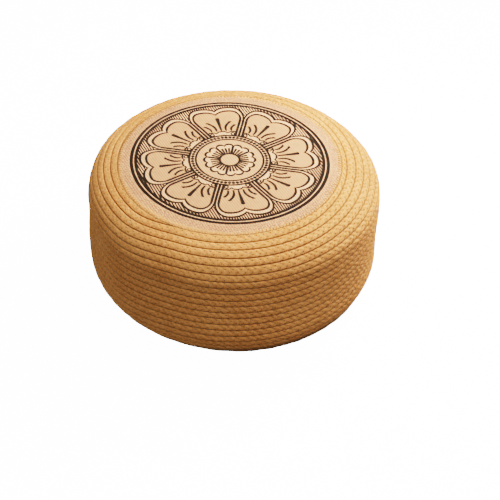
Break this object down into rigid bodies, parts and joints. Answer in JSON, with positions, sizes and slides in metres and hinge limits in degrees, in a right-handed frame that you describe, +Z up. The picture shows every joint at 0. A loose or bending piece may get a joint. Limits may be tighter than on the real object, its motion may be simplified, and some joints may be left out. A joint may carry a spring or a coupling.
{
  "type": "woven outdoor pouf",
  "caption": "Low round floor pouf: a filled drum wound from flat braided cord, with a printed cloth disc set into the top.",
  "frame": {"origin": "centre of the base, on the floor", "axes": "+Z up through the pouf, -Y towards the front, +X to the right seen from the front"},
  "size_m": [0.4, 0.3999, 0.2],
  "materials": {
    "braided_cord": "matt flat-braided yarn cord in golden tan, sewn edge to edge",
    "printed_cloth": "plain light tan twill with a dark brown line print"
  },
  "bodies": {
    "root": {"braided_drum": "braided_cord", "printed_disc": "printed_cloth"}
  },
  "joints": []
}
